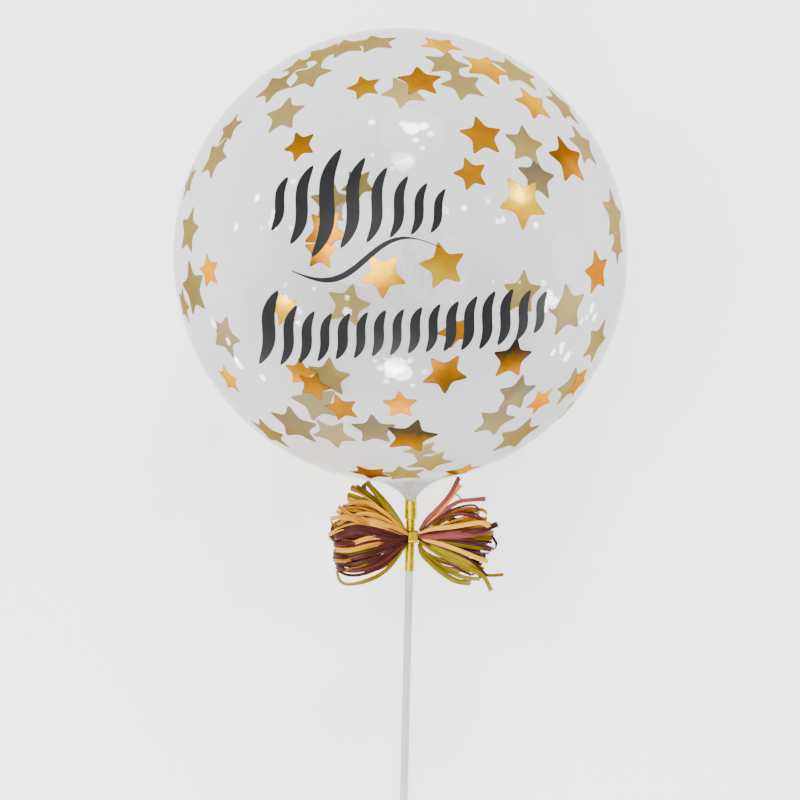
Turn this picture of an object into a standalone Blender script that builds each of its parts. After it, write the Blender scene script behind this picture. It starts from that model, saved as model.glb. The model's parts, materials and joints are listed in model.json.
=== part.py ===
"""A clear bubble balloon on a stick, with a raffia bow at its neck, lying on its back."""
import math

import bmesh
import bpy
from mathutils import Vector, geometry

# Balloon film, in metres as everywhere below
balloon_diameter = 0.450
flat_spot_diameter = 0.060
balloon_lean = 0.016  # from the stick's line to the balloon's centre
flare_radius = 0.034  # where the neck leaves the round of the balloon
neck_length = 0.0160  # from the round of the balloon to the end of the flare
tail_length = 0.0173  # gathered film pushed over the stick
tail_wall = 0.0011

# Stick
stick_diameter = 0.0078
stick_wall = 0.0010
stick_length = 0.500
stick_insertion = 0.0110  # how far the stick goes up into the tail

# Dull gold ribbon round the tail and the stick
ribbon_thickness = 0.0004
ribbon_below_tie = 0.0349

# Bright gold ribbon round the raffia and the stick
tie_below_tail = 0.0187
tie_shift = 0.0031  # to the right of the stick
tie_width = 0.0094
tie_thickness = 0.0006
tie_corner = 0.0012
tie_ring_height = 0.0060
waist_height = 0.0113  # the pinched raffia inside the tie
waist_depth = 0.0078

# Raffia
bow_reach = 0.0860  # from the middle of the tie to the ends of the long strips
raffia_width = 0.0080
raffia_thickness = 0.0006
outer_bulge = 0.0150  # how far an outer loop opens forwards and backwards
inner_bulge = 0.0080
tail_drift = 0.0040  # how far a cut end leans forwards

fit_gap = 0.0003

# Shares that set the shapes of the flare and of the fanned raffia
flare_skin_pull = 0.35
flare_neck_pull = 0.40
fan_softness = 0.12  # how soon a strip turns from the waist to its own direction
fan_curl = 0.45  # how much a strip levels out again towards its end
fan_fill = 0.75  # how much of the room between two strips they may fill
bunched_share = 0.30  # the share of its reach over which a strip opens from its pinch

# Outer loops from the top down: colour, then angle in degrees and share of the bow's reach, left and right
outer_loops = (
    ("olive", 51, 0.72, 52, 0.79),
    ("tan", 36, 0.90, 34, 0.91),
    ("tan", 21, 0.98, 18, 0.90),
    ("wine", 6, 0.98, 2, 0.94),
    ("wine", -9, 0.95, -12, 0.93),
    ("wine", -23, 0.98, -27, 0.88),
    ("olive", -41, 0.88, -46, 0.82),
)

# What lies between them: the same, with True for a loop and False for two cut ends
inner_strips = (
    ("wine", True, 43, 0.62, 43, 0.66),
    ("tan", False, 28, 1.00, 26, 0.93),
    ("tan", False, 13, 1.01, 10, 1.00),
    ("wine", True, -2, 0.84, -6, 0.84),
    ("olive", False, -16, 0.93, -19, 1.07),
    ("olive", False, -31, 0.98, -34, 1.04),
)

balloon_rings = 34
balloon_segments = 64
round_segments = 32
flare_points = 8
loop_steps = 7
tail_steps = 7
step_bias = 1.35  # puts more of the steps near the waist

balloon_radius = balloon_diameter / 2
stick_radius = stick_diameter / 2

# Places along the stick's line, measured from the height of the balloon's centre
neck_end = -(balloon_radius + neck_length)
tail_end = neck_end - tail_length
stick_top = tail_end + stick_insertion
stick_end = stick_top - stick_length
tie_centre = tail_end - tie_below_tail
ribbon_end = tie_centre - ribbon_below_tie

# Radii round the stick's line, each one outside the last
socket_radius = stick_radius + fit_gap
tail_radius = socket_radius + tail_wall
flare_end_radius = tail_radius + fit_gap
upper_ribbon_inside = tail_radius + fit_gap
upper_ribbon_outside = upper_ribbon_inside + ribbon_thickness
lower_ribbon_inside = stick_radius + fit_gap
lower_ribbon_outside = lower_ribbon_inside + ribbon_thickness
tie_ring_inside = lower_ribbon_outside + fit_gap
tie_ring_outside = tie_ring_inside + tie_thickness

# The neck points from the balloon's centre to the flare's end, at a small angle to the stick
lean_angle = math.atan2(balloon_lean, -neck_end)
neck_distance = math.hypot(balloon_lean, neck_end)
ribbon_top = neck_end - flare_end_radius * math.sin(lean_angle) - fit_gap

# The waist of the bow lies in front of the stick, which is towards -Y on the upright balloon
waist_back = -(tie_ring_outside + fit_gap)
waist_front = waist_back - waist_depth
waist_middle = (waist_back + waist_front) / 2
row_pitch = waist_height / len(outer_loops)
lane_pitch = waist_depth / 5

# It lies on the flat spot and on the stick's end, so the stick slopes down from the neck
centre_height = math.sqrt(balloon_radius**2 - (flat_spot_diameter / 2) ** 2)
slope = math.asin(centre_height / math.hypot(stick_end, stick_radius)) - math.atan2(stick_radius, -stick_end)
centre_y = (-stick_end * math.cos(slope) + stick_radius * math.sin(slope) - balloon_radius) / 2


def clear_scene():
    """Remove every object that the file opened with."""
    for obj in list(bpy.data.objects):
        bpy.data.objects.remove(obj)


def new_collection(name):
    """Add a collection to the scene."""
    collection = bpy.data.collections.new(name)
    bpy.context.scene.collection.children.link(collection)
    return collection


def new_material(name, colour, roughness, metallic=0.0, alpha=1.0):
    """Make a plain material."""
    material = bpy.data.materials.new(name)
    material.use_nodes = True
    shader = material.node_tree.nodes["Principled BSDF"]
    shader.inputs["Base Color"].default_value = (*colour, 1.0)
    shader.inputs["Roughness"].default_value = roughness
    shader.inputs["Metallic"].default_value = metallic
    shader.inputs["Alpha"].default_value = alpha
    return material


def add_piece(name, mesh, parent, material):
    """Put a piece of the balloon on its axis."""
    obj = bpy.data.objects.new(name, mesh)
    obj.parent = parent
    mesh.materials.append(material)
    pieces.objects.link(obj)
    return obj


def add_cutter(name, mesh, parent=None):
    """Put a shape that only cuts or joins beside the pieces."""
    obj = bpy.data.objects.new(name, mesh)
    obj.parent = parent
    obj.hide_render = True
    obj.display_type = "WIRE"
    cutters.objects.link(obj)
    return obj


def add_axis(name, location, rotation, parent=None):
    """Add an empty that pieces are placed on."""
    axis = bpy.data.objects.new(name, None)
    axis.location = location
    axis.rotation_euler = rotation
    axis.parent = parent
    cutters.objects.link(axis)
    return axis


def profile_mesh(name, points, closed):
    """Return the outline of a turned shape, given as radius and height."""
    mesh = bpy.data.meshes.new(name)
    bm = bmesh.new()
    verts = [bm.verts.new((radius, 0.0, height)) for radius, height in points]
    for first, second in zip(verts, verts[1:]):
        bm.edges.new((first, second))
    if closed:
        bm.edges.new((verts[-1], verts[0]))
    bm.to_mesh(mesh)
    bm.free()
    return mesh


def turn(obj, segments):
    """Turn an outline round the object's Z axis."""
    screw = obj.modifiers.new("turn", "SCREW")
    screw.axis = "Z"
    screw.angle = math.tau
    screw.steps = segments
    screw.render_steps = segments
    screw.use_merge_vertices = True
    screw.merge_threshold = 0.00001
    screw.use_smooth_shade = True


def combine(obj, other, operation):
    """Join another shape to an object or cut it away."""
    boolean = obj.modifiers.new(other.name, "BOOLEAN")
    boolean.object = other
    boolean.operation = operation
    boolean.solver = "EXACT"


def box_mesh(name, low, high):
    """Return a box between two corners."""
    mesh = bpy.data.meshes.new(name)
    bm = bmesh.new()
    bmesh.ops.create_cube(bm, size=1.0)
    size = Vector(high) - Vector(low)
    bmesh.ops.scale(bm, vec=size, verts=bm.verts)
    bmesh.ops.translate(bm, vec=(Vector(high) + Vector(low)) / 2, verts=bm.verts)
    bm.to_mesh(mesh)
    bm.free()
    return mesh


def balloon_profile():
    """Return the balloon from its pole, round its side and down the flare of the neck."""
    flare_angle = math.asin(flare_radius / balloon_radius)
    points = []
    for ring in range(balloon_rings + 1):
        angle = ring / balloon_rings * (math.pi - flare_angle)
        points.append((balloon_radius * math.sin(angle), balloon_radius * math.cos(angle)))
    flare_start = Vector((*points[-1], 0.0))
    along_skin = Vector((-math.cos(flare_angle), -math.sin(flare_angle), 0.0))
    flare_end = Vector((flare_end_radius, -neck_distance, 0.0))
    start_handle = flare_start + along_skin * flare_radius * flare_skin_pull
    end_handle = flare_end + Vector((0.0, neck_length * flare_neck_pull, 0.0))
    flare = geometry.interpolate_bezier(flare_start, start_handle, end_handle, flare_end, flare_points)
    points += [(point.x, point.y) for point in flare[1:]]
    points[0] = (0.0, balloon_radius)
    points.append((0.0, -neck_distance))
    return points


def make_balloon(stick_axis, neck_axis):
    """Make the film: the bubble and flare, the tail on the stick, the socket and the flat spot."""
    balloon = add_piece("balloon", profile_mesh("balloon", balloon_profile(), False), neck_axis, film)
    turn(balloon, balloon_segments)

    tail_top = neck_end + fit_gap * 10
    tail_outline = ((0.0, tail_top), (tail_radius, tail_top), (tail_radius, tail_end), (0.0, tail_end))
    tail = add_cutter("tail", profile_mesh("tail", tail_outline, False), stick_axis)
    turn(tail, round_segments)
    combine(balloon, tail, "UNION")

    socket_top = stick_top + fit_gap
    below_tail = tail_end - stick_diameter
    socket_outline = (
        (0.0, socket_top),
        (socket_radius, socket_top),
        (socket_radius, below_tail),
        (0.0, below_tail),
    )
    socket = add_cutter("socket", profile_mesh("socket", socket_outline, False), stick_axis)
    turn(socket, round_segments)
    combine(balloon, socket, "DIFFERENCE")

    reach = flat_spot_diameter
    under_floor = box_mesh(
        "under_floor",
        (-reach, centre_y - reach, -reach),
        (reach, centre_y + reach, 0.0),
    )
    combine(balloon, add_cutter("under_floor", under_floor), "DIFFERENCE")


def make_stick(stick_axis):
    """Make the plastic tube."""
    bore_radius = stick_radius - stick_wall
    outline = (
        (stick_radius, stick_top),
        (stick_radius, stick_end),
        (bore_radius, stick_end),
        (bore_radius, stick_top),
    )
    stick = add_piece("stick", profile_mesh("stick", outline, True), stick_axis, stick_plastic)
    turn(stick, round_segments)


def make_neck_ribbon(stick_axis):
    """Make the ribbon's sleeve, wide over the tail and narrow on the stick."""
    inner_step = tail_end - fit_gap
    outline = (
        (upper_ribbon_outside, ribbon_top),
        (upper_ribbon_outside, inner_step - ribbon_thickness),
        (lower_ribbon_outside, inner_step - 2 * ribbon_thickness),
        (lower_ribbon_outside, ribbon_end),
        (lower_ribbon_inside, ribbon_end),
        (lower_ribbon_inside, inner_step),
        (upper_ribbon_inside, inner_step),
        (upper_ribbon_inside, ribbon_top),
    )
    ribbon = add_piece("neck_ribbon", profile_mesh("neck_ribbon", outline, True), stick_axis, dull_gold)
    turn(ribbon, round_segments)


def make_bow_tie(stick_axis):
    """Make the ribbon round the waist of the bow, with its ring round the stick behind."""
    half_width = tie_width / 2
    half_waist = waist_height / 2
    half_height = half_waist + tie_thickness
    band = box_mesh(
        "bow_tie",
        (tie_shift - half_width, waist_front - tie_thickness, tie_centre - half_height),
        (tie_shift + half_width, waist_back + tie_thickness, tie_centre + half_height),
    )
    bm = bmesh.new()
    bm.from_mesh(band)
    long_edges = [edge for edge in bm.edges if abs(edge.verts[0].co.x - edge.verts[1].co.x) > half_width]
    bmesh.ops.bevel(bm, geom=long_edges, offset=tie_corner, segments=3, profile=0.5, affect="EDGES")
    bm.to_mesh(band)
    bm.free()
    tie = add_piece("bow_tie", band, stick_axis, bright_gold)

    waist = box_mesh(
        "waist",
        (tie_shift - tie_width, waist_front, tie_centre - half_waist),
        (tie_shift + tie_width, waist_back, tie_centre + half_waist),
    )
    combine(tie, add_cutter("waist", waist, stick_axis), "DIFFERENCE")

    ring_top = tie_centre + tie_ring_height / 2
    ring_bottom = tie_centre - tie_ring_height / 2
    outline = (
        (tie_ring_outside, ring_top),
        (tie_ring_outside, ring_bottom),
        (tie_ring_inside, ring_bottom),
        (tie_ring_inside, ring_top),
    )
    ring = add_cutter("tie_ring", profile_mesh("tie_ring", outline, True), stick_axis)
    turn(ring, round_segments)
    combine(tie, ring, "UNION")


def fan_out(share):
    """Return how far a strip has fanned out at a share of its reach, and how fast it does."""
    straight = (1 + fan_softness) * share**2 / (share + fan_softness)
    straight_rate = (1 + fan_softness) * (share**2 + 2 * fan_softness * share) / (share + fan_softness) ** 2
    curl = 1 + fan_curl * (1 - share)
    return straight * curl, straight_rate * curl - straight * fan_curl


def strip_section(side, angle, reach, row, share, depth, along_share, along_depth):
    """Return the four corners of a strip where it has gone a share of its reach.

    The last two say which way the strip runs there: along its reach, and in depth.
    """
    spread, rate = fan_out(share)
    start = tie_width / 2 + fit_gap
    reach_x = reach * math.cos(math.radians(angle)) - start
    reach_z = reach * math.sin(math.radians(angle)) - row
    centre = Vector(
        (
            tie_shift + side * (start + reach_x * share),
            waist_middle + depth,
            tie_centre + row + reach_z * spread,
        )
    )
    across = Vector((-side * reach_z * rate, 0.0, reach_x)).normalized()
    if share == 0:
        along = Vector((side * along_share, 0.0, 0.0))
    else:
        along = Vector((side * reach_x * along_share, along_depth, reach_z * rate * along_share))
    outwards = across.cross(along).normalized()

    fan_pitch = math.radians(outer_loops[0][1] - outer_loops[-1][1]) / (len(outer_loops) - 1)
    width_here = row_pitch - fit_gap + (reach * fan_pitch - row_pitch) * spread * fan_fill
    width = min(raffia_width, width_here)
    bunched = max(0.0, 1 - share / bunched_share)
    thickness = raffia_thickness + (lane_pitch - fit_gap - raffia_thickness) * bunched
    half_across = across * width / 2
    half_out = outwards * thickness / 2
    return [
        centre - half_across - half_out,
        centre + half_across - half_out,
        centre + half_across + half_out,
        centre - half_across + half_out,
    ]


def loop_sections(side, angle, reach, row, lane, bulge):
    """Return a loop's sections, out through one lane of the waist, round and back through the other."""
    sections = []
    direction = -side
    for step in range(-loop_steps, loop_steps + 1):
        quarter = math.pi / 2 * (1 - abs(step) / loop_steps) ** step_bias
        phase = quarter if step * direction < 0 else math.pi - quarter
        share = math.sin(phase) if abs(step) < loop_steps else 0.0
        depth = -lane * math.cos(phase) - bulge * math.sin(2 * phase)
        along_share = direction * math.cos(phase)
        along_depth = direction * (lane * math.sin(phase) - 2 * bulge * math.cos(2 * phase))
        sections.append(strip_section(side, angle, reach, row, share, depth, along_share, along_depth))
    return sections


def tail_sections(side, angle, reach, row):
    """Return the sections of a cut end, from the waist outwards on the right, inwards on the left."""
    sections = []
    for step in range(tail_steps + 1):
        share = (step / tail_steps) ** step_bias
        depth = -tail_drift * share**2
        along_depth = -2 * side * tail_drift * share
        sections.append(strip_section(side, angle, reach, row, share, depth, side, along_depth))
    return sections if side > 0 else sections[::-1]


def strip_mesh(name, sections, closed):
    """Return a strip lofted through its sections, as a ring or with two flat ends."""
    mesh = bpy.data.meshes.new(name)
    bm = bmesh.new()
    rings = [[bm.verts.new(corner) for corner in section] for section in sections]
    following = rings[1:] + rings[:1] if closed else rings[1:]
    for ring, after in zip(rings, following):
        for corner in range(4):
            beside = (corner + 1) % 4
            bm.faces.new((ring[corner], ring[beside], after[beside], after[corner]))
    if not closed:
        bm.faces.new(rings[0])
        bm.faces.new(rings[-1])
    bmesh.ops.recalc_face_normals(bm, faces=bm.faces)
    bm.to_mesh(mesh)
    bm.free()
    return mesh


def strip_sections(looped, left, right, row, lane, bulge):
    """Return all the sections of one strip, through the waist with a loop or a cut end on each side."""
    sections = []
    for side, (angle, share) in ((-1, left), (1, right)):
        reach = share * bow_reach
        if looped:
            sections += loop_sections(side, angle, reach, row, lane, bulge)
        else:
            sections += tail_sections(side, angle, reach, row)
    return sections


def make_raffia(stick_axis):
    """Make every strip of the bow, numbered by colour from the top down."""
    strips = []
    for index, (colour, *ends) in enumerate(outer_loops):
        row = ((len(outer_loops) - 1) / 2 - index) * row_pitch
        sections = strip_sections(True, ends[:2], ends[2:], row, 2 * lane_pitch, outer_bulge)
        strips.append((row, colour, sections, True))
    for index, (colour, looped, *ends) in enumerate(inner_strips):
        row = ((len(inner_strips) - 1) / 2 - index) * row_pitch
        sections = strip_sections(looped, ends[:2], ends[2:], row, lane_pitch, inner_bulge)
        strips.append((row, colour, sections, looped))

    counts = dict.fromkeys(raffia_colours, 0)
    for row, colour, sections, closed in sorted(strips, key=lambda strip: -strip[0]):
        counts[colour] += 1
        name = f"raffia_{colour}_{counts[colour]}"
        add_piece(name, strip_mesh(name, sections, closed), stick_axis, raffia_colours[colour])


clear_scene()
pieces = new_collection("bubble_balloon")
cutters = new_collection("cutters")

film = new_material("clear_film", (0.86, 0.86, 0.88), 0.04, alpha=0.25)
stick_plastic = new_material("white_plastic", (0.68, 0.67, 0.64), 0.35)
dull_gold = new_material("dull_gold_ribbon", (0.42, 0.30, 0.05), 0.32, 0.7)
bright_gold = new_material("bright_gold_ribbon", (0.72, 0.48, 0.03), 0.25, 0.8)
raffia_colours = {
    "tan": new_material("raffia_tan", (0.68, 0.38, 0.13), 0.6),
    "wine": new_material("raffia_wine", (0.10, 0.02, 0.025), 0.55),
    "olive": new_material("raffia_olive", (0.30, 0.22, 0.04), 0.55),
}

upright_place = (balloon_lean, centre_y, centre_height)
upright_axis = add_axis("stick_axis", upright_place, (slope - math.pi / 2, 0.0, 0.0))
leaning_axis = add_axis("neck_axis", (-balloon_lean, 0.0, 0.0), (0.0, -lean_angle, 0.0), upright_axis)

make_balloon(upright_axis, leaning_axis)
make_stick(upright_axis)
make_neck_ribbon(upright_axis)
make_bow_tie(upright_axis)
make_raffia(upright_axis)
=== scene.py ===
import json
import math
import random

import bmesh
import bpy
from mathutils import Matrix, Vector, geometry, noise


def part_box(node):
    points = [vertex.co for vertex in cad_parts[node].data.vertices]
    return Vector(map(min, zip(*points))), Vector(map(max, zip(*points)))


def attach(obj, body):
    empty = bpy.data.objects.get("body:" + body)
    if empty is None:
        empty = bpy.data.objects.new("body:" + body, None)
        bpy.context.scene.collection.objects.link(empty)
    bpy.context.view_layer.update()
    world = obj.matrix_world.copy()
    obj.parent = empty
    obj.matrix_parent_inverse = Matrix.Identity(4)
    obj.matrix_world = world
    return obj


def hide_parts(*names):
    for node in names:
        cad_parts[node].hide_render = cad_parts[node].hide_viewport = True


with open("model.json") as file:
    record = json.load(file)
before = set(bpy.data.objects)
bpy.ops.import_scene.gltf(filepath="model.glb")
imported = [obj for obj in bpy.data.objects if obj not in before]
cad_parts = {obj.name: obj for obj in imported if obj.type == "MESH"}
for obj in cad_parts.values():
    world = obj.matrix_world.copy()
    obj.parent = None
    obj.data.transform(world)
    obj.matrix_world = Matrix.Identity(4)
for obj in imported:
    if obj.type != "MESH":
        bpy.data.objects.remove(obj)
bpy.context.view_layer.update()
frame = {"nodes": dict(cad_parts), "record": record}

# All lengths are in metres. The balloon is built standing up: Z runs up along the
# stick, the decorated front looks along -Y, and one matrix then lays it down.

# The picture and the camera
picture_side = 800
picture_middle = picture_side / 2
picture_focus = 2212.8  # focal length in pixels
sensor_width = 36.0
camera_distance = 2.2
camera_roll = math.radians(1.36)
balloon_in_picture = (400.5, 257.0)
pixel_at_centre = camera_distance / picture_focus

# The film
pleat_count = 18
film_segments = 216
film_rings = 110
flare_rings = 30
tail_rings = 8
flare_radius = 0.034
neck_length = 0.0160
flare_skin_pull = 0.35
flare_neck_pull = 0.40
flare_end_radius = 0.0055
pleat_depth = 0.00034
gather_fold = 1.4  # how much deeper the gathers are folded than the film over them
pleat_reach = 0.050  # how far from the neck's axis the pleats still show
tail_radius = 0.0053
socket_radius = 0.0042
socket_gap = 0.0003  # between the film's socket and the top of the stick
floor_clearance = 0.0002
gather_gap = 0.0002  # how far inside the film each layer of the gathers lies

# Stars and strokes on the film
small = 0.0182  # stars, from the middle to a tip
big = 0.0236
large = 0.0280
far_growth = 1.16  # how much larger the stars on the far side are
star_layers = 6  # overlapping stars lie at different heights
star_layer_gap = 0.00003
star_waist = 0.47  # how far the notches lie, as a share of the tips
star_inside = 0.00012
star_outside = 0.00034
stroke_inside = 0.00052
stroke_outside = 0.00074
star_steps = 5
star_shares = (0.3, 0.6, 0.93, 1.0)  # how far out the rings of a star lie
star_rims = (0.0, 0.90, 0.90, 0.90, 1.0)  # how near its cut edge the middle and each ring are
stroke_steps = 28

# The bow, measured in a crop of the photo that is enlarged 7.1 times
crop_pixel = 0.0001394  # the length that one of its pixels shows
tie_in_crop = (803.0, 478.0)
tie_shift = 0.0031  # how far the bow's middle lies beside the stick's
tie_width = 0.0094
tie_thickness = 0.0006
tie_steps = 48
tape_thickness = 0.00028
waist_height = 0.0113
waist_depth = 0.0078
bow_reach = 0.0860
strip_thickness = 0.00028
strip_lanes = 8  # points across a strip
pinched_width = 0.42  # share of its width where a strip is pinched
fray_length = 0.0022
front_bulge = 0.0165  # how far the strips in front stand out of the bow

# Stars: side of the film, place in the picture, size, turn in degrees, then how dark the foil is painted
# at its top and at its bottom, from 0 for bright to 1 for nearly black: painted reflection and painted shade
front = True
back = False
stars = (
    (front, 364, 87, small, 21, 0.42, 0.34),
    (front, 300, 146, small, 28, 0.62, 0.42),
    (back, 310, 75, big, -15, 0.25, 0.35),
    (back, 275, 87, big, 5, 0.45, 0.30),
    (back, 284, 115, big, -20, 0.25, 0.20),
    (back, 215, 158, big, 8, 0.30, 0.20),
    (back, 230, 129, small, 50, 0.30, 0.30),
    (back, 322, 54, big, -20, 0.20, 0.30),
    (back, 346, 47, big, 14, 0.25, 0.25),
    (back, 375, 43, big, 33, 0.30, 0.25),
    (back, 298, 66, small, 10, 0.15, 0.20),
    (back, 189, 231, big, 4, 0.25, 0.30),
    (back, 189, 182, small, 40, 0.30, 0.30),
    (back, 358, 185, small, 35, 0.62, 0.50),
    (back, 331, 203, big, -2, 0.35, 0.40),
    (front, 326, 232, big, 40, 0.56, 0.66),
    (front, 321, 252, small, -5, 0.44, 0.64),
    (front, 209, 271, small, 8, 0.34, 0.40),
    (back, 193, 289, large, -12, 0.36, 0.40),
    (back, 184, 305, small, 20, 0.30, 0.30),
    (back, 225, 336, big, 30, 0.15, 0.25),
    (front, 229, 379, small, -16, 0.30, 0.40),
    (front, 383, 275, big, 34, 0.28, 0.38),
    (back, 348, 305, big, 15, 0.20, 0.10),
    (front, 284, 309, small, 9, 0.18, 0.26),
    (front, 301, 373, small, -12, 0.55, 0.50),
    (front, 314, 386, small, 44, 0.70, 0.66),
    (back, 329, 377, big, 12, 0.35, 0.40),
    (back, 316, 402, large, -8, 0.12, 0.16),
    (front, 342, 408, small, 10, 0.68, 0.70),
    (back, 295, 425, large, 20, 0.55, 0.42),
    (back, 333, 434, big, 48, 0.14, 0.10),
    (back, 374, 430, big, 2, 0.56, 0.42),
    (front, 400, 405, small, 2, 0.64, 0.50),
    (back, 270, 433, big, 28, 0.30, 0.30),
    (front, 370, 473, big, 14, 0.16, 0.20),
    (front, 441, 45, big, 30, 0.24, 0.30),
    (front, 420, 81, big, 3, 0.50, 0.46),
    (back, 404, 92, big, -25, 0.12, 0.02),
    (back, 447, 64, big, 31, 0.30, 0.25),
    (back, 463, 85, big, -6, 0.32, 0.25),
    (front, 486, 68, large, -32, 0.24, 0.36),
    (back, 516, 72, large, 44, 0.12, 0.12),
    (front, 533, 104, big, 8, 0.28, 0.34),
    (front, 482, 136, big, 5, 0.47, 0.40),
    (front, 471, 174, small, 16, 0.42, 0.45),
    (back, 525, 145, big, 19, 0.50, 0.30),
    (back, 537, 178, big, 15, 0.84, 0.54),
    (front, 523, 202, large, 31, 0.16, 0.34),
    (front, 568, 160, large, 5, 0.74, 0.50),
    (back, 583, 146, big, 10, 0.08, 0.10),
    (back, 614, 216, large, 16, 0.10, 0.08),
    (back, 617, 245, small, -30, 0.15, 0.20),
    (back, 562, 106, big, 25, 0.08, 0.08),
    (front, 443, 266, big, 13, 0.40, 0.12),
    (front, 597, 272, big, 18, 0.56, 0.60),
    (back, 567, 310, large, -14, 0.12, 0.38),
    (back, 522, 293, big, 4, 0.20, 0.40),
    (front, 455, 331, small, 27, 0.45, 0.50),
    (front, 445, 374, big, 43, 0.44, 0.74),
    (front, 512, 359, big, 2, 0.94, 0.56),
    (back, 596, 342, big, 12, 0.20, 0.10),
    (back, 516, 394, big, -5, 0.60, 0.36),
    (front, 540, 401, small, -25, 0.40, 0.52),
    (back, 571, 385, big, 40, 0.22, 0.12),
    (front, 578, 383, small, -10, 0.36, 0.48),
    (back, 495, 421, big, 7, 0.50, 0.25),
    (back, 517, 436, large, -15, 0.40, 0.30),
    (front, 411, 437, large, -12, 0.99, 0.66),
    (back, 430, 462, big, 18, 0.05, 0.10),
    (front, 461, 471, big, 22, 0.16, 0.22),
    (back, 403, 474, big, -12, 0.15, 0.20),
    (back, 568, 409, small, 2, 0.30, 0.30),
    (back, 421, 450, small, 40, 0.10, 0.05),
)

# Strokes: kind, middle in the picture, length, width and slant from upright in degrees
strokes = (
    ("leaf", 280, 204, 56, 10, 17),
    ("leaf", 302, 205, 82, 13, 16),
    ("leaf", 327, 203, 112, 16, 15),
    ("leaf", 353, 203, 94, 14, 15),
    ("leaf", 377, 205, 78, 12, 15),
    ("leaf", 399, 207, 64, 11, 16),
    ("leaf", 419, 209, 54, 10, 17),
    ("leaf", 438, 211, 46, 9, 18),
    ("swash", 366, 259, 150, 7, 81),
    ("leaf", 269, 327, 76, 14, 14),
    ("leaf", 289, 335, 62, 11, 15),
    ("leaf", 307, 337, 54, 11, 16),
    ("leaf", 325, 337, 50, 10, 16),
    ("leaf", 343, 336, 48, 11, 16),
    ("leaf", 361, 335, 48, 10, 16),
    ("leaf", 379, 333, 48, 11, 16),
    ("leaf", 397, 332, 48, 10, 16),
    ("leaf", 415, 330, 48, 11, 16),
    ("leaf", 433, 328, 50, 10, 16),
    ("leaf", 451, 326, 52, 11, 16),
    ("leaf", 469, 323, 56, 11, 16),
    ("leaf", 487, 320, 60, 11, 15),
    ("leaf", 505, 317, 58, 11, 15),
    ("leaf", 523, 315, 52, 10, 16),
    ("leaf", 540, 312, 44, 9, 17),
)

# Glints: where in the picture a lamp is mirrored by the front of the film, the lamp's size and
# how strongly it shines for its size
glints = (
    (412, 128, 0.30, 110.0),
    (424, 126, 0.18, 110.0),
    (403, 124, 0.13, 90.0),
    (431, 134, 0.10, 90.0),
    (416, 140, 0.12, 90.0),
    (422, 148, 0.10, 70.0),
    (372, 122, 0.13, 80.0),
    (372, 155, 0.07, 80.0),
    (257, 197, 0.13, 110.0),
    (293, 181, 0.10, 70.0),
    (236, 227, 0.13, 90.0),
    (276, 229, 0.06, 80.0),
    (464, 208, 0.13, 90.0),
    (519, 194, 0.15, 90.0),
    (503, 220, 0.11, 80.0),
    (536, 225, 0.13, 80.0),
    (328, 228, 0.10, 80.0),
    (214, 323, 0.16, 100.0),
    (347, 312, 0.20, 60.0),
    (548, 297, 0.28, 80.0),
    (554, 303, 0.24, 80.0),
    (546, 309, 0.14, 80.0),
    (452, 301, 0.06, 80.0),
    (468, 305, 0.06, 80.0),
    (396, 366, 0.44, 80.0),
    (402, 373, 0.40, 80.0),
    (391, 373, 0.26, 80.0),
    (410, 361, 0.12, 70.0),
    (386, 382, 0.10, 70.0),
    (412, 385, 0.10, 70.0),
    (562, 346, 0.13, 100.0),
    (561, 352, 0.08, 100.0),
    (553, 353, 0.12, 100.0),
    (567, 357, 0.17, 100.0),
    (582, 350, 0.12, 100.0),
    (587, 317, 0.08, 100.0),
    (595, 317, 0.12, 100.0),
    (581, 322, 0.09, 100.0),
    (592, 308, 0.15, 100.0),
    (239, 364, 0.19, 100.0),
    (236, 359, 0.10, 100.0),
    (263, 378, 0.12, 100.0),
    (228, 341, 0.11, 100.0),
    (298, 322, 0.13, 80.0),
    (286, 299, 0.14, 90.0),
    (262, 228, 0.06, 80.0),
    (291, 228, 0.07, 80.0),
)
glint_distance = 2.5
low_glint_distance = 0.5  # for glints near the outline, whose lamps stand low beside the balloon
low_glint_spread = math.radians(30.0)  # narrow, so that these lamps leave the floor alone

# Wide soft ones, each made of lamps inside one another so that it has no edge
soft_glints = (
    (412, 132, 1.30, 16.0),
    (566, 255, 0.90, 9.0),
    (240, 300, 0.80, 8.0),
)
soft_steps = 5

# Raffia colours, each with how light the strip is from 0 to 1: partly the raffia's own tone, partly painted
# shade and painted light
shaded_dark_wine = ("wine", 0.02)
wine = ("wine", 0.38)
lit_light_wine = ("wine", 0.92)
shaded_dark_tan = ("tan", 0.08)
tan = ("tan", 0.55)
lit_light_tan = ("tan", 0.95)
shaded_dark_olive = ("olive", 0.05)
olive = ("olive", 0.45)
lit_light_olive = ("olive", 0.95)

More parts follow.
